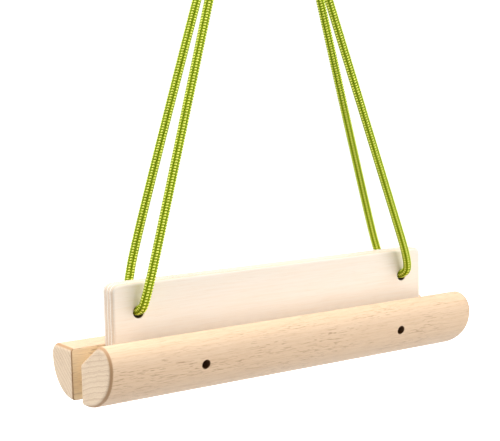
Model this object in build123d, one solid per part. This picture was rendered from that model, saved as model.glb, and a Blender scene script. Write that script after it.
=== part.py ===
"""Hanging wooden grip bar: a plywood plate between two hardwood rails, hung on cord from a steel ring.

Millimetres. The origin is the point where a hook bears inside the top of the ring. +X runs along the
rails, -Y is the side of the deeper rail and +Z is up.
"""
from build123d import *
from math import asin, atan2, cos, degrees, hypot, inf, pi, radians, sin, sqrt, tan
import os

# Driving dimensions
RAIL_LENGTH = 400.0
NEAR_DEPTH = 53.0
NEAR_CREST_HEIGHT = 56.0
NEAR_INNER_HEIGHT = 36.5
NEAR_CREST_RADIUS = 17.0
NEAR_FRONT_RADIUS = 32.0
FAR_DEPTH = 39.5
FAR_HEIGHT = 45.5
FAR_CREST_RADIUS = 11.0
FAR_FRONT_RADIUS = 34.0
RAIL_END_ROUND = 3.5
RAIL_INNER_ROUND = 1.5
PLATE_LENGTH = 350.0
PLATE_HEIGHT = 98.5
PLATE_THICKNESS = 18.0
PLATE_CORNER_ROUND = 7.0
PLATE_EDGE_ROUND = 2.8
PLATE_SHIFT_X = 6.5
CORD_DIAMETER = 8.0
CORD_HOLE_DIAMETER = 10.0
CORD_HOLE_SPACING = 300.0
CORD_HOLE_HEIGHT = 72.5
CORD_HOLE_ROUND = 1.5
SCREW_SPACING = 218.0
SCREW_HEIGHT = 31.2
SCREW_DIAMETER = 5.0
SCREW_CLEARANCE_HOLE = 5.6
SCREW_LENGTH = 70.0
SCREW_HEAD_DIAMETER = 7.6
SCREW_HEAD_HEIGHT = 4.5
SCREW_POINT_LENGTH = 7.0
SCREW_POINT_RADIUS = 0.3
SCREW_SOCKET_WIDTH = 4.0
SCREW_SOCKET_DEPTH = 2.6
SCREW_RECESS_DIAMETER = 8.0
SCREW_RECESS_DEPTH = 24.0
RING_INNER_DIAMETER = 32.0
RING_WIRE = 7.0
LOOP_DROP = 44.0
LOOP_CLEARANCE = 0.8
KNOT_RADIUS = 18.0
KNOT_GAP = 1.6
KNOT_ABOVE_RAILS = 558.5
TAIL_LENGTH = 30.0
TAIL_TILT = 38.0
TAIL_ROOT_X = 4.0
TAIL_ROOT_Z = 6.0
STRAND_SLANT_HEIGHT = 134.0
STRAND_STAND_OFF = 20.0
STRAND_CORNER_RISE = 6.0
MOUTH_REACH = 14.0
BEAR = 0.1

NEAR_OUTLINE = (NEAR_DEPTH, NEAR_CREST_HEIGHT, NEAR_INNER_HEIGHT, NEAR_CREST_RADIUS, NEAR_FRONT_RADIUS)
FAR_OUTLINE = (FAR_DEPTH, FAR_HEIGHT, FAR_HEIGHT, FAR_CREST_RADIUS, FAR_FRONT_RADIUS)

# Each strand: x and y where it meets the knot, then how far along the rails it is from its hole at the
# slant height and at its corner. The knot is irregular, so no two strands meet it alike.
LEFT_FRONT = (-12.1, -5.6, 15.9, 1.3)
LEFT_BACK = (-2.0, 12.4, 15.6, 4.3)
RIGHT_FRONT = (-4.2, 2.9, -17.9, 1.7)
RIGHT_BACK = (8.0, 3.4, -19.4, -3.1)

# Where the pieces sit. The rails and plate are set off so that their weight hangs below the ring.
RING_CENTRE_Z = -RING_INNER_DIAMETER / 2
WIRE_RING_RADIUS = (RING_INNER_DIAMETER + RING_WIRE) / 2
RING_BOTTOM_Z = RING_CENTRE_Z - WIRE_RING_RADIUS
KNOT_Z = RING_BOTTOM_Z - LOOP_DROP
RAIL_BOTTOM_Z = KNOT_Z - KNOT_ABOVE_RAILS
RAIL_X = -2.0
PLATE_X = RAIL_X + PLATE_SHIFT_X
PLATE_Y = 6.5
PLATE_FRONT_Y = PLATE_Y - PLATE_THICKNESS / 2
PLATE_BACK_Y = PLATE_Y + PLATE_THICKNESS / 2
SCREW_Z = RAIL_BOTTOM_Z + SCREW_HEIGHT
SCREW_SEAT_Y = PLATE_FRONT_Y - NEAR_DEPTH + SCREW_RECESS_DEPTH + SCREW_HEAD_HEIGHT
HOLE_Z = RAIL_BOTTOM_Z + CORD_HOLE_HEIGHT
CORD_Z = HOLE_Z + (CORD_HOLE_DIAMETER - CORD_DIAMETER) / 2 + BEAR


def along_y(diameter, start_y, end_y, x, z):
    """A cylinder with its axis along Y."""
    length = end_y - start_y
    middle = Location((x, (start_y + end_y) / 2, z), (90, 0, 0))
    return middle * Cylinder(diameter / 2, length)


def screw_places():
    return [("screw_left", RAIL_X - SCREW_SPACING / 2), ("screw_right", RAIL_X + SCREW_SPACING / 2)]


def cord_hole_places():
    return [PLATE_X - CORD_HOLE_SPACING / 2, PLATE_X + CORD_HOLE_SPACING / 2]


def extruded_rail(outline, inner_y, outward):
    """A rail from its end outline, given as a face in depth and height, out from the plate's face."""
    plane = Plane(
        origin=(RAIL_X - outward * RAIL_LENGTH / 2, inner_y, RAIL_BOTTOM_Z),
        x_dir=(0, outward, 0),
        z_dir=(outward, 0, 0),
    )
    return extrude(plane * outline, amount=RAIL_LENGTH)


def rail_outline(depth, crest_height, inner_height, crest_radius, front_radius):
    """End outline of a rail: a finger edge from the plate up to a round crest, then a round front and bottom.

    The front arc turns 45 degrees and a second arc turns the rest of the way, down to a narrow flat foot.
    """
    crest_y = depth - crest_radius
    crest_z = crest_height - crest_radius - inner_height
    slope = atan2(crest_z, crest_y) + asin(crest_radius / hypot(crest_y, crest_z))
    slope_length = sqrt(crest_y**2 + crest_z**2 - crest_radius**2)
    slope_end = (slope_length * cos(slope), inner_height + slope_length * sin(slope))
    bottom_radius = (crest_height - crest_radius - front_radius * sqrt(0.5)) / (1 - sqrt(0.5))
    with BuildSketch() as sketch:
        with BuildLine():
            Line((0, 0), (0, inner_height))
            edge = Line((0, inner_height), slope_end)
            crest = JernArc(slope_end, edge % 1, crest_radius, -90 - degrees(slope))
            front = JernArc(crest @ 1, crest % 1, front_radius, -45)
            bottom = JernArc(front @ 1, front % 1, bottom_radius, -45)
            Line(bottom @ 1, (0, 0))
        make_face()
    return sketch.sketch


def round_ends(rail, inner_y):
    """Soften both end outlines of a rail, less along the face that lies against the plate."""
    for radius, at_plate in ((RAIL_END_ROUND, False), (RAIL_INNER_ROUND, True)):
        ends = [face for face in rail.faces() if abs(face.normal_at().X) > 0.99]
        edges = [edge for face in ends for edge in face.edges()]
        rail = fillet([edge for edge in edges if (abs(edge.center().Y - inner_y) < 0.01) == at_plate], radius)
    return rail


def near_rail():
    rail = round_ends(extruded_rail(rail_outline(*NEAR_OUTLINE), PLATE_FRONT_Y, -1), PLATE_FRONT_Y)
    front_y = PLATE_FRONT_Y - NEAR_DEPTH
    head_y = SCREW_SEAT_Y - SCREW_HEAD_HEIGHT
    for _, x in screw_places():
        rail -= along_y(SCREW_RECESS_DIAMETER, front_y - 1, SCREW_SEAT_Y, x, SCREW_Z)
        rail -= along_y(SCREW_CLEARANCE_HOLE, head_y, PLATE_FRONT_Y + 1, x, SCREW_Z)
    return rail


def far_rail():
    rail = round_ends(extruded_rail(rail_outline(*FAR_OUTLINE), PLATE_BACK_Y, 1), PLATE_BACK_Y)
    for _, x in screw_places():
        rail -= screw_shaft(x)
    return rail


def plate():
    middle_z = RAIL_BOTTOM_Z + PLATE_HEIGHT / 2
    board = Location((PLATE_X, PLATE_Y, middle_z)) * Box(PLATE_LENGTH, PLATE_THICKNESS, PLATE_HEIGHT)
    top_z = RAIL_BOTTOM_Z + PLATE_HEIGHT
    corners = [edge for edge in board.edges().filter_by(Axis.Y) if edge.center().Z > top_z - 1]
    board = fillet(corners, PLATE_CORNER_ROUND)
    faces = [face for face in board.faces() if abs(face.normal_at().Y) > 0.99]
    edges = [edge for face in faces for edge in face.edges() if edge.center().Z > RAIL_BOTTOM_Z + 1]
    board = fillet(edges, PLATE_EDGE_ROUND)
    for x in cord_hole_places():
        board -= along_y(CORD_HOLE_DIAMETER, PLATE_FRONT_Y - 1, PLATE_BACK_Y + 1, x, HOLE_Z)
    rims = [
        edge
        for edge in board.edges().filter_by(GeomType.CIRCLE)
        if abs(edge.radius - CORD_HOLE_DIAMETER / 2) < 0.01
    ]
    board = fillet(rims, CORD_HOLE_ROUND)
    for _, x in screw_places():
        board -= along_y(SCREW_CLEARANCE_HOLE, PLATE_FRONT_Y - 1, PLATE_BACK_Y + 1, x, SCREW_Z)
    return board


def screw_shaft(x):
    """The screw below its head, with a conical point, lying along Y."""
    point_y = SCREW_SEAT_Y + SCREW_LENGTH - SCREW_POINT_LENGTH
    shaft = along_y(SCREW_DIAMETER, SCREW_SEAT_Y, point_y, x, SCREW_Z)
    cone = Cone(SCREW_DIAMETER / 2, SCREW_POINT_RADIUS, SCREW_POINT_LENGTH)
    return shaft + Location((x, point_y + SCREW_POINT_LENGTH / 2, SCREW_Z), (-90, 0, 0)) * cone


def screw(x):
    head_y = SCREW_SEAT_Y - SCREW_HEAD_HEIGHT
    head = along_y(SCREW_HEAD_DIAMETER, head_y, SCREW_SEAT_Y, x, SCREW_Z)
    socket_plane = Plane(origin=(x, head_y, SCREW_Z), z_dir=(0, 1, 0))
    socket = extrude(
        socket_plane * RegularPolygon(SCREW_SOCKET_WIDTH / 2, 6, major_radius=False),
        amount=SCREW_SOCKET_DEPTH,
    )
    return head + screw_shaft(x) - socket


def cord_radii(points, bend):
    """A radius for each corner: 0.45 of its shorter run over the tangent of half its turn, or bend if less."""
    radii = []
    for before, corner, after in zip(points, points[1:], points[2:]):
        arriving = Vector(*corner) - Vector(*before)
        leaving = Vector(*after) - Vector(*corner)
        half_turn = radians(arriving.get_angle(leaving)) / 2
        shorter = min(arriving.length, leaving.length)
        radii.append(min(0.45 * shorter / tan(half_turn), bend))
    return radii


def cord_tube(name, points, bend=inf):
    """A round cord along straight runs joined by tangent arcs of at most the given bend radius."""
    radii = cord_radii(points, bend)
    path = FilletPolyline(*points, radius=radii)
    start = Plane(origin=path @ 0, z_dir=path % 0)
    tube = sweep(start * Circle(CORD_DIAMETER / 2), path=path)
    section = pi * CORD_DIAMETER**2 / 4
    print(f"{name}: length {path.length:.1f}, radii {[round(r, 1) for r in radii]}")
    print(f"{name}: volume {tube.volume:.0f}, section times length {section * path.length:.0f}")
    return tube


def strand_points(hole_x, face, strand):
    """One strand from the knot down to its hole, in front of the plate (face -1) or behind it (face 1)."""
    knot_x, knot_y, slant, corner = strand
    inner_reach = max(hypot(knot_x, knot_y) - CORD_DIAMETER / 2, 0)
    knot_z = KNOT_Z - sqrt((KNOT_RADIUS + KNOT_GAP) ** 2 - inner_reach**2)
    out_y = PLATE_Y + face * STRAND_STAND_OFF
    return [
        (knot_x, knot_y, knot_z),
        (hole_x + slant, out_y, RAIL_BOTTOM_Z + STRAND_SLANT_HEIGHT),
        (hole_x + corner, out_y, CORD_Z + STRAND_CORNER_RISE),
        (hole_x, PLATE_Y + face * MOUTH_REACH, CORD_Z),
    ]


def hung_cord(name, hole_x, front, back):
    """One side's cord: down in front of the plate, back through its hole and up again to the knot."""
    points = strand_points(hole_x, -1, front) + strand_points(hole_x, 1, back)[::-1]
    return cord_tube(name, points)


def hanging_loop():
    """The bight above the knot, over the bottom of the ring. Its legs stop just clear of the knot."""
    reach = RING_WIRE / 2 + LOOP_CLEARANCE + CORD_DIAMETER / 2
    leg_end_z = KNOT_Z + sqrt((KNOT_RADIUS + KNOT_GAP) ** 2 - reach**2)
    top_z = RING_BOTTOM_Z + reach
    points = [(0, -reach, leg_end_z), (0, -reach, top_z), (0, reach, top_z), (0, reach, leg_end_z)]
    loop = cord_tube("hanging_loop", points, bend=reach - BEAR)
    return loop - Location((0, 0, KNOT_Z)) * Sphere(KNOT_RADIUS + KNOT_GAP)


def cord_tails():
    """The two cut ends of the cord, which stand out of the top of the knot."""
    tails = []
    for side in (-1, 1):
        lean = Location((side * TAIL_ROOT_X, 0, KNOT_Z + TAIL_ROOT_Z), (0, side * TAIL_TILT, 0))
        tails.append(lean * Location((0, 0, TAIL_LENGTH / 2)) * Cylinder(CORD_DIAMETER / 2, TAIL_LENGTH))
    return Compound(children=tails)


def main():
    os.makedirs("parts", exist_ok=True)
    left_hole_x, right_hole_x = cord_hole_places()
    nodes = {
        "plate": plate(),
        "near_rail": near_rail(),
        "far_rail": far_rail(),
        "left_cord": hung_cord("left_cord", left_hole_x, LEFT_FRONT, LEFT_BACK),
        "right_cord": hung_cord("right_cord", right_hole_x, RIGHT_FRONT, RIGHT_BACK),
        "knot": Location((0, 0, KNOT_Z)) * Sphere(KNOT_RADIUS),
        "hanging_loop": hanging_loop(),
        "cord_tails": cord_tails(),
        "ring": Location((0, 0, RING_CENTRE_Z), (90, 0, 0)) * Torus(WIRE_RING_RADIUS, RING_WIRE / 2),
    }
    for name, x in screw_places():
        nodes[name] = screw(x)
    for name, shape in nodes.items():
        export_step(shape, f"parts/{name}.step")


main()
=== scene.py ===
"""Looks of the hanging wooden grip bar: beech rails, a plywood plate and braided cord, lit in a white studio.

Metres, in the CAD frame: the origin is where a hook bears inside the top of the ring, +X runs along the
rails, -Y is the side of the deeper rail and +Z is up.
"""
from math import cos, pi, radians, sin, tau

import bpy
from mathutils import Matrix, Vector


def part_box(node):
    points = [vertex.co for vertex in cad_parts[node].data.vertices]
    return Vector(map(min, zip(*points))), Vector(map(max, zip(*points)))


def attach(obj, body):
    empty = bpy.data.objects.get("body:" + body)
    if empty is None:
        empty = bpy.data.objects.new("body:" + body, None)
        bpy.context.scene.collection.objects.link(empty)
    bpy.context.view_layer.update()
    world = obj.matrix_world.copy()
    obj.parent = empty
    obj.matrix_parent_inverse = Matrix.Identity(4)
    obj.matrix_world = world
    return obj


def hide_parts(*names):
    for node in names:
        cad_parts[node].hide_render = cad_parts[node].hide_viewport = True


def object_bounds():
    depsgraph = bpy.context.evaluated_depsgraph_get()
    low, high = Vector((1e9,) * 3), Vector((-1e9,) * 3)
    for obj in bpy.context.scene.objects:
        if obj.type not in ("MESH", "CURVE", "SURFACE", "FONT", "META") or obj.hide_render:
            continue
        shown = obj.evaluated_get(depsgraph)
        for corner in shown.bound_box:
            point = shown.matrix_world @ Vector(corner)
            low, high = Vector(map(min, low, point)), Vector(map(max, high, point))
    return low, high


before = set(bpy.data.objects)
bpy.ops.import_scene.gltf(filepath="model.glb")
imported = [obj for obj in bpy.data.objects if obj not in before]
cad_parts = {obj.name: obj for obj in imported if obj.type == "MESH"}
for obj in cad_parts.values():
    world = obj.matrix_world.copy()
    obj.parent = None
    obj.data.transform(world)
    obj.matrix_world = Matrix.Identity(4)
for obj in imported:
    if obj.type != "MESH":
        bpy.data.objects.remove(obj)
cad_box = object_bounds()
scene = bpy.context.scene

# Places and sizes that the cord's route shares with the CAD
CORD_DIAMETER = 0.008
KNOT_Z = -0.0795
RING_BOTTOM_Z = -0.0355
PLATE_LOW, PLATE_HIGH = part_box("plate")
PLATE_Y = (PLATE_LOW.y + PLATE_HIGH.y) / 2
TAIL_END = Vector((0.0225, 0, KNOT_Z + 0.0296))

PLATE_THICKNESS = PLATE_HIGH.y - PLATE_LOW.y
PLY_THICKNESS = 0.0026
FACE_VENEER = 0.0008

HOLE_X = {"left_cord": -0.1455, "right_cord": 0.1545}
CORD_HOLE_Z = -0.5655
CORD_HOLES = [Vector((x, PLATE_Y, CORD_HOLE_Z)) for x in HOLE_X.values()]
CORD_HOLE_INSIDE = 0.0053
SCREWS = ("screw_left", "screw_right")
SCREW_PLACES = [sum(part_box(name), Vector()) / 2 for name in SCREWS]
SCREW_HOLE_INSIDE = 0.0042

# The braid: this many strands wind each way round the cord, one turn in each lead
CARRIERS = 6
BRAID_LEAD = 0.0148
BRAID_DEPTH = 0.0008
BRAID_RADIUS = 0.00415
SAMPLES_AROUND = 36
SAMPLES_PER_LEAD = 30
SAMPLE_STEP = BRAID_LEAD / SAMPLES_PER_LEAD


# ---------------------------------------------------------------- camera

def place_camera():
    """The camera stands left of the near rail's end, a little above the plate, and looks slightly down."""
    yaw = radians(34.293)
    pitch = radians(6.358)
    roll = radians(-1.215)
    forward = Vector((sin(yaw) * cos(pitch), cos(yaw) * cos(pitch), -sin(pitch)))
    level_right = Vector((cos(yaw), -sin(yaw), 0))
    level_up = level_right.cross(forward)
    right = level_right * cos(roll) + level_up * sin(roll)
    up = level_up * cos(roll) - level_right * sin(roll)
    data = bpy.data.cameras.new("camera")
    data.lens = 83.62
    data.sensor_width = 36
    data.clip_end = 100
    camera = bpy.data.objects.new("camera", data)
    turn = Matrix((right, up, -forward)).transposed().to_4x4()
    camera.matrix_world = Matrix.Translation((-0.61847, -0.86840, -0.37891)) @ turn
    scene.collection.objects.link(camera)
    scene.camera = camera


# ---------------------------------------------------------------- shader nodes

def new_material(name, **sockets):
    """A material with the given values on its Principled shader, its node tree and that shader."""
    material = bpy.data.materials.new(name)
    material.use_nodes = True
    shader = material.node_tree.nodes["Principled BSDF"]
    for socket, value in sockets.items():
        shader.inputs[socket.replace("_", " ").title().replace("Ior", "IOR")].default_value = value
    return material, material.node_tree, shader


def add_node(tree, kind, *inputs, **settings):
    """A node with its settings and its first inputs, each a value, a socket to link or None to leave."""
    node = tree.nodes.new("ShaderNode" + kind)
    for name, value in settings.items():
        setattr(node, name, value)
    for index, value in enumerate(inputs):
        if isinstance(value, bpy.types.NodeSocket):
            tree.links.new(value, node.inputs[index])
        elif value is not None:
            node.inputs[index].default_value = value
    return node


def maths(tree, operation, *inputs, clamp=False):
    return add_node(tree, "Math", *inputs, operation=operation, use_clamp=clamp).outputs[0]


def distance(tree, from_first, from_second):
    """The length of a step with these two square components."""
    first = maths(tree, "POWER", from_first, 2.0)
    second = maths(tree, "POWER", from_second, 2.0)
    return maths(tree, "SQRT", maths(tree, "ADD", first, second))


def noise(tree, position, stretch, detail=2.0, roughness=0.5):
    """Noise of the position scaled by the stretch in X, Y and Z, from 0 to 1."""
    scaled = add_node(tree, "VectorMath", position, stretch, operation="MULTIPLY").outputs[0]
    node = add_node(tree, "TexNoise", scaled)
    node.inputs["Scale"].default_value = 1
    node.inputs["Detail"].default_value = detail
    node.inputs["Roughness"].default_value = roughness
    return node.outputs[0]


def spread(tree, value, low, high, to_low=0.0, to_high=1.0):
    """The value's range from low to high taken smoothly to another range."""
    node = add_node(tree, "MapRange", value, low, high, to_low, to_high, interpolation_type="SMOOTHSTEP")
    return node.outputs[0]


def mix_colours(tree, factor, first, second):
    node = add_node(tree, "Mix", data_type="RGBA")
    for index, value in ((0, factor), (6, first), (7, second)):
        if isinstance(value, bpy.types.NodeSocket):
            tree.links.new(value, node.inputs[index])
        else:
            node.inputs[index].default_value = value
    return node.outputs[2]


def rgba(red, green, blue):
    return (red, green, blue, 1)


def bump(tree, shader, height, strength, distance):
    node = add_node(tree, "Bump")
    node.inputs["Strength"].default_value = strength
    node.inputs["Distance"].default_value = distance
    tree.links.new(height, node.inputs["Height"])
    tree.links.new(node.outputs[0], shader.inputs["Normal"])


# ---------------------------------------------------------------- materials

def in_holes(tree, position, places, radius):
    """1 inside the holes that run along Y at a place and at its mirror image across the middle of the two."""
    axes = add_node(tree, "SeparateXYZ", position).outputs
    middle = (places[0].x + places[1].x) / 2
    apart = abs(places[0].x - places[1].x) / 2
    from_x = maths(tree, "SUBTRACT", maths(tree, "ABSOLUTE", maths(tree, "SUBTRACT", axes[0], middle)), apart)
    from_z = maths(tree, "SUBTRACT", axes[2], places[0].z)
    return maths(tree, "LESS_THAN", distance(tree, from_x, from_z), radius)


def beech(name, pith_y, pith_z, ring_spacing):
    """Fine-sanded beech whose growth rings lie round a pith line along X at the given Y and Z, with a painted
    glow in the gap beside the plate, roundovers darkened partly as routing burn and partly as painted shade,
    and painted shade in the near rail's screw holes.
    """
    material, tree, shader = new_material(name, roughness=0.55, specular_ior_level=0.3)
    coordinates = add_node(tree, "TexCoord")
    position = coordinates.outputs["Object"]
    facing = maths(tree, "ABSOLUTE", add_node(tree, "SeparateXYZ", coordinates.outputs["Normal"]).outputs[0])
    on_end = spread(tree, facing, 0.70, 0.97)
    across = add_node(tree, "SeparateXYZ", position)
    drift = noise(tree, position, (4, 22, 22), detail=3)
    from_pith_y = maths(tree, "SUBTRACT", across.outputs[1], pith_y)
    from_pith_z = maths(tree, "SUBTRACT", across.outputs[2], pith_z)
    radius = maths(tree, "MULTIPLY_ADD", drift, 0.010, distance(tree, from_pith_y, from_pith_z))
    in_ring = maths(tree, "FRACT", maths(tree, "DIVIDE", radius, ring_spacing))
    late_wood = maths(tree, "POWER", in_ring, 5.0)
    fine_rings = noise(tree, add_node(tree, "CombineXYZ", radius).outputs[0], (900, 1, 1), detail=2)
    tone = noise(tree, position, (7, 60, 60), detail=3)
    fibre = noise(tree, position, (45, 1500, 1500), detail=3, roughness=0.6)
    flecks = spread(tree, noise(tree, position, (115, 1900, 1300), detail=1), 0.56, 0.68)
    patches = spread(tree, noise(tree, position, (16, 70, 70), detail=2), 0.42, 0.62)
    colour = mix_colours(tree, tone, rgba(0.780, 0.585, 0.405), rgba(0.710, 0.510, 0.340))
    # Painted light: the rails' faces beside the plate, in the gap, get a lighter and warmer colour that
    # stands in for light bouncing between the rails
    from_plate = maths(tree, "ABSOLUTE", maths(tree, "SUBTRACT", across.outputs[1], PLATE_Y))
    gap_painted_glow = maths(tree, "LESS_THAN", from_plate, PLATE_THICKNESS / 2 + 0.0001)
    colour = mix_colours(tree, gap_painted_glow, colour, rgba(0.990, 0.800, 0.530))
    colour = mix_colours(tree, on_end, colour, rgba(0.800, 0.645, 0.470))
    late_strength = maths(tree, "MULTIPLY", late_wood, maths(tree, "MULTIPLY_ADD", on_end, 0.45, 0.16))
    colour = mix_colours(tree, late_strength, colour, rgba(0.480, 0.285, 0.150))
    fine_strength = maths(tree, "MULTIPLY_ADD", on_end, 0.25, 0.08)
    fine = maths(tree, "MULTIPLY", spread(tree, fine_rings, 0.45, 0.70), fine_strength)
    colour = mix_colours(tree, fine, colour, rgba(0.500, 0.310, 0.170))
    colour = mix_colours(tree, spread(tree, fibre, 0.35, 0.70, 0.0, 0.30), colour, rgba(0.600, 0.390, 0.225))
    fleck_strength = maths(tree, "MULTIPLY", flecks, maths(tree, "MULTIPLY_ADD", patches, 0.44, 0.16))
    colour = mix_colours(tree, fleck_strength, colour, rgba(0.300, 0.155, 0.070))
    # Darker band on the roundovers between the end and side faces: partly routing burn, partly painted shade
    roundover_burn_and_shade = maths(tree, "MULTIPLY", spread(tree, facing, 0.12, 0.35), maths(tree, "SUBTRACT", 1.0, on_end))
    colour = mix_colours(tree, maths(tree, "MULTIPLY", roundover_burn_and_shade, 0.85), colour, rgba(0.430, 0.240, 0.110))
    # Painted shade: the near rail's screw holes are painted dark for the shade inside them
    near_side = maths(tree, "LESS_THAN", across.outputs[1], PLATE_Y)
    hole_painted_shade = maths(tree, "MULTIPLY", in_holes(tree, position, SCREW_PLACES, SCREW_HOLE_INSIDE), near_side)
    colour = mix_colours(tree, maths(tree, "MULTIPLY", hole_painted_shade, 0.9), colour, rgba(0.140, 0.060, 0.018))
    tree.links.new(colour, shader.inputs["Base Color"])
    rough = spread(tree, fibre, 0.3, 0.7, 0.48, 0.66)
    tree.links.new(rough, shader.inputs["Roughness"])
    height = maths(tree, "SUBTRACT", fibre, flecks)
    bump(tree, shader, height, 0.35, 0.00012)
    return material


def plywood():
    """Pale veneer on the faces, and plies with thin glue lines that show round the edges, with painted shade
    in the cord holes.
    """
    material, tree, shader = new_material("plywood", roughness=0.58, specular_ior_level=0.3)
    position = add_node(tree, "TexCoord").outputs["Object"]
    depth = maths(tree, "SUBTRACT", add_node(tree, "SeparateXYZ", position).outputs[1], PLATE_LOW.y)
    wander = noise(tree, position, (30, 90, 30), detail=2)
    depth = maths(tree, "MULTIPLY_ADD", maths(tree, "SUBTRACT", wander, 0.5), 0.0006, depth)
    plies = maths(tree, "DIVIDE", depth, PLY_THICKNESS)
    in_ply = maths(tree, "FRACT", plies)
    crossed = maths(tree, "LESS_THAN", maths(tree, "FRACT", maths(tree, "DIVIDE", plies, 2.0)), 0.5)
    glue = maths(tree, "LESS_THAN", maths(tree, "ABSOLUTE", maths(tree, "SUBTRACT", in_ply, 0.5)), 0.41)
    from_middle = maths(tree, "ABSOLUTE", maths(tree, "SUBTRACT", depth, PLATE_THICKNESS / 2))
    veneer = maths(tree, "GREATER_THAN", from_middle, PLATE_THICKNESS / 2 - FACE_VENEER)
    glue = maths(tree, "MAXIMUM", glue, veneer)
    tone = noise(tree, position, (3, 30, 45), detail=3)
    grain = noise(tree, position, (18, 400, 520), detail=4, roughness=0.6)
    pores = spread(tree, noise(tree, position, (60, 900, 1500), detail=1), 0.62, 0.75)
    colour = mix_colours(tree, tone, rgba(0.830, 0.765, 0.690), rgba(0.810, 0.735, 0.635))
    colour = mix_colours(tree, spread(tree, grain, 0.35, 0.70, 0.0, 0.22), colour, rgba(0.770, 0.600, 0.430))
    colour = mix_colours(tree, maths(tree, "MULTIPLY", pores, 0.15), colour, rgba(0.600, 0.430, 0.280))
    end_grain = mix_colours(tree, grain, rgba(0.800, 0.650, 0.500), rgba(0.640, 0.480, 0.340))
    cross_ply = maths(tree, "MULTIPLY", maths(tree, "SUBTRACT", 1.0, veneer), crossed)
    colour = mix_colours(tree, maths(tree, "MULTIPLY", cross_ply, 0.8), colour, end_grain)
    colour = mix_colours(tree, glue, rgba(0.330, 0.200, 0.110), colour)
    # Painted shade: the cord holes in the plate are painted dark for the shade inside them
    hole_painted_shade = in_holes(tree, position, CORD_HOLES, CORD_HOLE_INSIDE)
    colour = mix_colours(tree, maths(tree, "MULTIPLY", hole_painted_shade, 0.9), colour, rgba(0.050, 0.025, 0.010))
    tree.links.new(colour, shader.inputs["Base Color"])
    bump(tree, shader, maths(tree, "SUBTRACT", grain, pores), 0.25, 0.0001)
    return material


def braided_sheath():
    """Yellow strands wound one way and green the other. Whole numbers in the braid map are gaps, painted dark
    as shade, and the yellow strands' crowns carry a painted highlight.
    """
    material, tree, shader = new_material("braided_sheath", roughness=0.4, specular_ior_level=0.06)
    place = add_node(tree, "SeparateXYZ", add_node(tree, "UVMap", uv_map="braid").outputs[0])
    waves = [maths(tree, "SINE", maths(tree, "MULTIPLY", place.outputs[axis], pi)) for axis in (0, 1)]
    across = [maths(tree, "ABSOLUTE", wave) for wave in waves]
    above = maths(tree, "MULTIPLY_ADD", maths(tree, "MULTIPLY", *waves), 1.6, 0.5, clamp=True)
    height = add_node(tree, "Mix", above, data_type="FLOAT")
    tree.links.new(across[0], height.inputs[2])
    tree.links.new(across[1], height.inputs[3])
    height = height.outputs[0]
    yarns = [maths(tree, "SINE", maths(tree, "MULTIPLY", place.outputs[axis], tau * 4)) for axis in (0, 1)]
    yarn = add_node(tree, "Mix", above, data_type="FLOAT")
    tree.links.new(yarns[0], yarn.inputs[2])
    tree.links.new(yarns[1], yarn.inputs[3])
    yarn = yarn.outputs[0]
    position = add_node(tree, "TexCoord").outputs["Object"]
    tone = noise(tree, position, (300, 300, 300), detail=2)
    strand_colour = mix_colours(tree, above, rgba(0.200, 0.300, 0.001), rgba(0.880, 1.000, 0.060))
    # Painted shade: the gaps between strands, where the braid sinks, are painted dark
    colour = mix_colours(tree, spread(tree, height, 0.15, 0.65), rgba(0.008, 0.026, 0.000), strand_colour)
    # Painted highlight: a near-white spot on the crowns of the yellow strands
    crown_painted_highlight = maths(tree, "MULTIPLY", above, spread(tree, height, 0.80, 1.0))
    colour = mix_colours(tree, crown_painted_highlight, colour, rgba(1.000, 1.000, 0.300))
    colour = mix_colours(tree, spread(tree, yarn, 0.2, 1.0, 0.0, 0.12), colour, rgba(0.120, 0.180, 0.001))
    colour = mix_colours(tree, spread(tree, tone, 0.4, 0.7, 0.0, 0.12), colour, rgba(0.230, 0.330, 0.001))
    tree.links.new(colour, shader.inputs["Base Color"])
    bump(tree, shader, maths(tree, "MULTIPLY_ADD", yarn, 0.15, height), 0.5, 0.0003)
    return material


def brushed_steel(name, grey, roughness):
    """Plain stainless steel with fine wear that varies the gloss."""
    material, tree, shader = new_material(name, metallic=1.0, roughness=roughness)
    position = add_node(tree, "TexCoord").outputs["Object"]
    wear = noise(tree, position, (700, 700, 250), detail=4, roughness=0.65)
    smudge = noise(tree, position, (60, 60, 60), detail=3)
    clean = rgba(grey, grey, grey * 1.01)
    smudged = rgba(grey * 0.82, grey * 0.81, grey * 0.80)
    colour = mix_colours(tree, smudge, clean, smudged)
    tree.links.new(colour, shader.inputs["Base Color"])
    rough = spread(tree, wear, 0.3, 0.7, roughness - 0.07, roughness + 0.12)
    tree.links.new(rough, shader.inputs["Roughness"])
    bump(tree, shader, wear, 0.08, 0.00005)
    return material


def melted_end():
    """The fused yarn at a hot-cut end, darker and glossier than the braid."""
    material, tree, shader = new_material("melted_end", roughness=0.3, specular_ior_level=0.6)
    position = add_node(tree, "TexCoord").outputs["Object"]
    lumps = noise(tree, position, (600, 600, 600), detail=3)
    colour = mix_colours(tree, lumps, rgba(0.16, 0.22, 0.010), rgba(0.075, 0.080, 0.010))
    tree.links.new(colour, shader.inputs["Base Color"])
    bump(tree, shader, lumps, 0.5, 0.0004)
    return material


def dress(obj, *materials):
    """Gives obj these materials in place of its own."""
    obj.data.materials.clear()
    for material in materials:
        obj.data.materials.append(material)


# ---------------------------------------------------------------- cord

def spline_line(control_points, resolution=24):
    """Points along the NURBS spline with these control points."""
    curve = bpy.data.curves.new("route", "CURVE")
    curve.dimensions = "3D"
    curve.resolution_u = resolution
    spline = curve.splines.new("NURBS")
    spline.points.add(len(control_points) - 1)
    for place, point in zip(spline.points, control_points):
        place.co = (*point, 1)
    spline.order_u = 3
    spline.use_endpoint_u = True
    holder = bpy.data.objects.new("route", curve)
    mesh = bpy.data.meshes.new_from_object(holder)
    line = [vertex.co.copy() for vertex in mesh.vertices]
    bpy.data.objects.remove(holder)
    bpy.data.meshes.remove(mesh)
    return line


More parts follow.
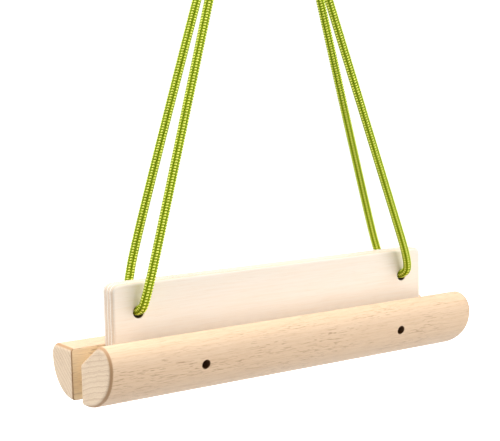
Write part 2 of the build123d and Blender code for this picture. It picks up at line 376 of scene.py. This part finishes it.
def even_line(line, step):
    """The line's points spread evenly, about a step apart, and its length."""
    lengths = [0.0]
    for a, b in zip(line, line[1:]):
        lengths.append(lengths[-1] + (b - a).length)
    count = round(lengths[-1] / step)
    points = []
    segment = 0
    for index in range(count + 1):
        target = lengths[-1] * index / count
        while segment < len(line) - 2 and lengths[segment + 1] < target:
            segment += 1
        share = (target - lengths[segment]) / max(lengths[segment + 1] - lengths[segment], 1e-12)
        points.append(line[segment].lerp(line[segment + 1], share))
    return points, lengths[-1]


def turning_frames(points):
    """A tangent and a sideways direction at each point, without twist from one to the next."""
    frames = []
    for index, point in enumerate(points):
        before = points[max(index - 1, 0)]
        after = points[min(index + 1, len(points) - 1)]
        tangent = (after - before).normalized()
        if not frames:
            sideways = tangent.orthogonal().normalized()
        else:
            sideways = (frames[-1][1] - tangent * frames[-1][1].dot(tangent)).normalized()
        frames.append((tangent, sideways))
    return frames


def braid_height(p, q):
    """How far the braid stands out, 0 in a gap and 1 on a strand, at strand counts p and q each way."""
    wave_p = sin(pi * p)
    wave_q = sin(pi * q)
    above = min(max(0.5 + 1.6 * wave_p * wave_q, 0), 1)
    return above * abs(wave_q) + (1 - above) * abs(wave_p)


def braided_cord(name, line, melted=False):
    """A braided cord along the line, as a mesh; its braid map counts the strands each way round."""
    points, length = even_line(line, SAMPLE_STEP)
    core = BRAID_RADIUS - BRAID_DEPTH
    vertices = []
    for index, (point, (tangent, sideways)) in enumerate(zip(points, turning_frames(points))):
        other = tangent.cross(sideways)
        along = CARRIERS * index * SAMPLE_STEP / BRAID_LEAD
        from_end = (len(points) - 1 - index) * SAMPLE_STEP
        rounding = min(from_end / (CORD_DIAMETER / 3), 1) if melted else 1
        shrink = (1 - (1 - rounding) ** 2) ** 0.5 * 0.85 + 0.15
        for turn in range(SAMPLES_AROUND):
            share = turn / SAMPLES_AROUND
            height = braid_height(CARRIERS * share + along, CARRIERS * share - along)
            radius = (core + BRAID_DEPTH * height) * shrink
            angle = tau * share
            vertices.append(point + (sideways * cos(angle) + other * sin(angle)) * radius)
    faces = []
    for ring in range(len(points) - 1):
        for turn in range(SAMPLES_AROUND):
            following = (turn + 1) % SAMPLES_AROUND
            low = ring * SAMPLES_AROUND
            high = low + SAMPLES_AROUND
            faces.append((low + turn, low + following, high + following, high + turn))
    sides = len(faces)
    last = len(vertices)
    vertices += [points[0], points[-1]]
    for turn in range(SAMPLES_AROUND):
        following = (turn + 1) % SAMPLES_AROUND
        faces.append((last, following, turn))
        faces.append((last + 1, last - SAMPLES_AROUND + turn, last - SAMPLES_AROUND + following))
    mesh = bpy.data.meshes.new(name)
    mesh.from_pydata([tuple(v) for v in vertices], [], faces)
    uv = mesh.uv_layers.new(name="braid").data
    for face in range(sides):
        ring, turn = divmod(face, SAMPLES_AROUND)
        for corner, (step_round, step_along) in enumerate(((0, 0), (1, 0), (1, 1), (0, 1))):
            share = CARRIERS * (turn + step_round) / SAMPLES_AROUND
            along = CARRIERS * (ring + step_along) * SAMPLE_STEP / BRAID_LEAD
            uv[face * 4 + corner].uv = (share + along, share - along)
    mesh.shade_smooth()
    cord = bpy.data.objects.new(name, mesh)
    scene.collection.objects.link(cord)
    mesh.materials.append(sheath)
    if melted:
        mesh.materials.append(fused)
        for face, polygon in enumerate(mesh.polygons):
            near_tip = sides - face < SAMPLES_AROUND * 5
            polygon.material_index = int(near_tip)
    return cord, points, length


# The front and back strand of each side as in the CAD: x, y and z where they leave the knot, and how far
# along X from the hole they are where they slant and where they turn the corner into the hole
STRANDS = {
    "left_cord": ((-0.0121, -0.0056, -0.0970, 0.0159, 0.0013), (-0.0020, 0.0124, -0.0972, 0.0156, 0.0043)),
    "right_cord": ((-0.0042, 0.0029, -0.0990, -0.0179, 0.0002), (0.0080, 0.0034, -0.0985, -0.0194, -0.0031)),
}
SLANT_Z = -0.504
CORNER_Z = -0.5535
CORD_Z = -0.5648
STAND_OFF = 0.020
MOUTH_REACH = 0.0125


def strand(hole_x, face, x, y, z, slant, corner):
    """Control points of one strand from inside the knot down to its hole, on one face of the plate."""
    out_y = PLATE_Y + face * STAND_OFF
    return [
        Vector((x * 0.35, y * 0.35, KNOT_Z - 0.004)),
        Vector((x, y, z)),
        Vector((hole_x + slant, out_y, SLANT_Z)),
        Vector((hole_x + corner, out_y, CORNER_Z)),
        Vector((hole_x, PLATE_Y + face * MOUTH_REACH, CORD_Z)),
    ]


def hung_cord(name):
    """One side's cord, from the knot down in front, through the plate and up again behind."""
    front, back = STRANDS[name]
    hole_x = HOLE_X[name]
    route = strand(hole_x, -1, *front) + strand(hole_x, 1, *back)[::-1]
    cord, points, length = braided_cord(name + "_braid", spline_line(route))
    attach(cord, "bar")
    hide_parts(name)
    return cord, points, length


def hanging_loop():
    """The bight over the bottom of the ring, whose legs go down into the knot."""
    reach = 0.0083
    foot = 0.0085
    top_z = RING_BOTTOM_Z + reach
    route = [
        Vector((0, -foot, KNOT_Z + 0.008)),
        Vector((0, -reach * 1.15, KNOT_Z + 0.017)),
        Vector((0, -reach, top_z - 0.006)),
        Vector((0, -reach * 0.98, top_z + 0.002)),
        Vector((0, reach * 0.98, top_z + 0.002)),
        Vector((0, reach, top_z - 0.006)),
        Vector((0, reach * 1.15, KNOT_Z + 0.017)),
        Vector((0, foot, KNOT_Z + 0.008)),
    ]
    cord, points, length = braided_cord("hanging_loop_braid", spline_line(route))
    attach(cord, "sling")
    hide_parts("hanging_loop")
    return cord, points, length


def knot_wraps():
    """The knot: turns of cord wound tightly up round the strands, then a last turn down across the others."""
    turns = 3
    steps = 12
    radius = 0.0134
    rise = 0.0083
    route = [Vector((0.004, 0, KNOT_Z - 0.0125))]
    for step in range(turns * steps + 1):
        angle = tau * step / steps
        height = -turns * rise / 2 + rise * step / steps
        swell = radius * (1 + 0.02 * sin(angle * 1.7))
        route.append(Vector((swell * cos(angle), swell * sin(angle), KNOT_Z + height)))
    riding_turn = (
        (0.124, 0.0165, 0.0135),
        (0.260, 0.0205, 0.0060),
        (0.360, 0.0205, -0.0060),
        (0.496, 0.0165, -0.0135),
    )
    for turned, reach, height in riding_turn:
        angle = -tau * turned
        route.append(Vector((reach * cos(angle), reach * sin(angle), KNOT_Z + height)))
    route.append(Vector((-0.006, 0.002, KNOT_Z - 0.014)))
    knot, _, _ = braided_cord("knot_wraps", spline_line(route))
    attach(knot, "bar")
    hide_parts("knot")
    return knot


def cord_tails():
    """The two hot-cut ends that stand out of the top of the knot."""
    tails = []
    for side, name in ((-1, "cord_tail_left"), (1, "cord_tail_right")):
        route = [
            Vector((side * 0.004, 0, KNOT_Z + 0.001)),
            Vector((side * 0.0052, 0, KNOT_Z + 0.0145)),
            Vector((side * 0.0130, 0, KNOT_Z + 0.0230)),
            Vector((side * TAIL_END.x, 0, TAIL_END.z)),
        ]
        tail, _, _ = braided_cord(name, spline_line(route), melted=True)
        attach(tail, "bar")
        tails.append(tail)
    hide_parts("cord_tails")
    return tails


def make_cords():
    knot = knot_wraps()
    tails = cord_tails()
    loop, loop_points, loop_length = hanging_loop()
    for name in STRANDS:
        cord, points, length = hung_cord(name)


# ---------------------------------------------------------------- stage and light

def floor():
    """A plain white floor far under the hanging bar. It gives off no light of its own to the bar."""
    size = 40
    z = cad_box[0][2] - 0.35
    mesh = bpy.data.meshes.new("floor")
    corners = [(-size, -size, z), (size, -size, z), (size, size, z), (-size, size, z)]
    mesh.from_pydata(corners, [], [(0, 1, 2, 3)])
    obj = bpy.data.objects.new("floor", mesh)
    obj.visible_diffuse = False
    scene.collection.objects.link(obj)
    material, _, shader = new_material("floor_white", roughness=0.9, specular_ior_level=0.1)
    shader.inputs["Base Color"].default_value = rgba(0.9, 0.9, 0.9)
    shader.inputs["Emission Color"].default_value = rgba(1, 1, 1)
    shader.inputs["Emission Strength"].default_value = 0.75
    mesh.materials.append(material)


def softbox(name, place, aim, size, power):
    """A white area light at a place, turned to face another."""
    data = bpy.data.lights.new(name, "AREA")
    data.shape = "RECTANGLE"
    data.size, data.size_y = size
    data.energy = power
    light = bpy.data.objects.new(name, data)
    light.location = place
    light.rotation_euler = (Vector(aim) - Vector(place)).to_track_quat("-Z", "Y").to_euler()
    scene.collection.objects.link(light)


def light_studio():
    """A white room, dimmer in front, with soft lights above, behind on the left and in front on the right."""
    world = bpy.data.worlds.new("studio")
    scene.world = world
    world.use_nodes = True
    tree = world.node_tree
    direction = add_node(tree, "TexCoord").outputs["Generated"]
    front = add_node(tree, "VectorMath", direction, (-0.56, -0.83, 0), operation="DOT_PRODUCT")
    to_front = front.outputs["Value"]
    upward = add_node(tree, "SeparateXYZ", direction).outputs[2]
    room = maths(tree, "MULTIPLY_ADD", to_front, -0.27, 0.56)
    room = maths(tree, "MULTIPLY_ADD", upward, -0.11, room)
    seen = add_node(tree, "LightPath").outputs["Is Camera Ray"]
    background = tree.nodes["Background"]
    background.inputs[0].default_value = rgba(1, 1, 1)
    strength = add_node(tree, "Mix", seen, data_type="FLOAT")
    tree.links.new(room, strength.inputs[2])
    strength.inputs[3].default_value = 1.1
    tree.links.new(strength.outputs[0], background.inputs[1])
    middle = (0, 0, -0.55)
    softbox("top_light", (-0.28, 0.32, 0.80), middle, (1.4, 1.2), 29)
    softbox("left_light", (-1.55, 0.8, -0.15), middle, (0.8, 1.6), 15)
    softbox("right_light", (0.90, -1.5, -0.12), middle, (2.4, 2.0), 38)


place_camera()
sheath = braided_sheath()
fused = melted_end()
make_cords()
near_beech = beech("near_rail_beech", -0.14, -1.05, 0.0046)
far_beech = beech("far_rail_beech", 0.30, -0.95, 0.0040)
dress(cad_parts["near_rail"], near_beech)
dress(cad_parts["far_rail"], far_beech)
dress(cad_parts["plate"], plywood())
screw_steel = brushed_steel("screw_steel", 0.12, 0.45)
for screw in SCREWS:
    dress(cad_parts[screw], screw_steel)
dress(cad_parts["ring"], brushed_steel("ring_steel", 0.42, 0.26))
floor()
light_studio()
scene.view_settings.view_transform = "Standard"
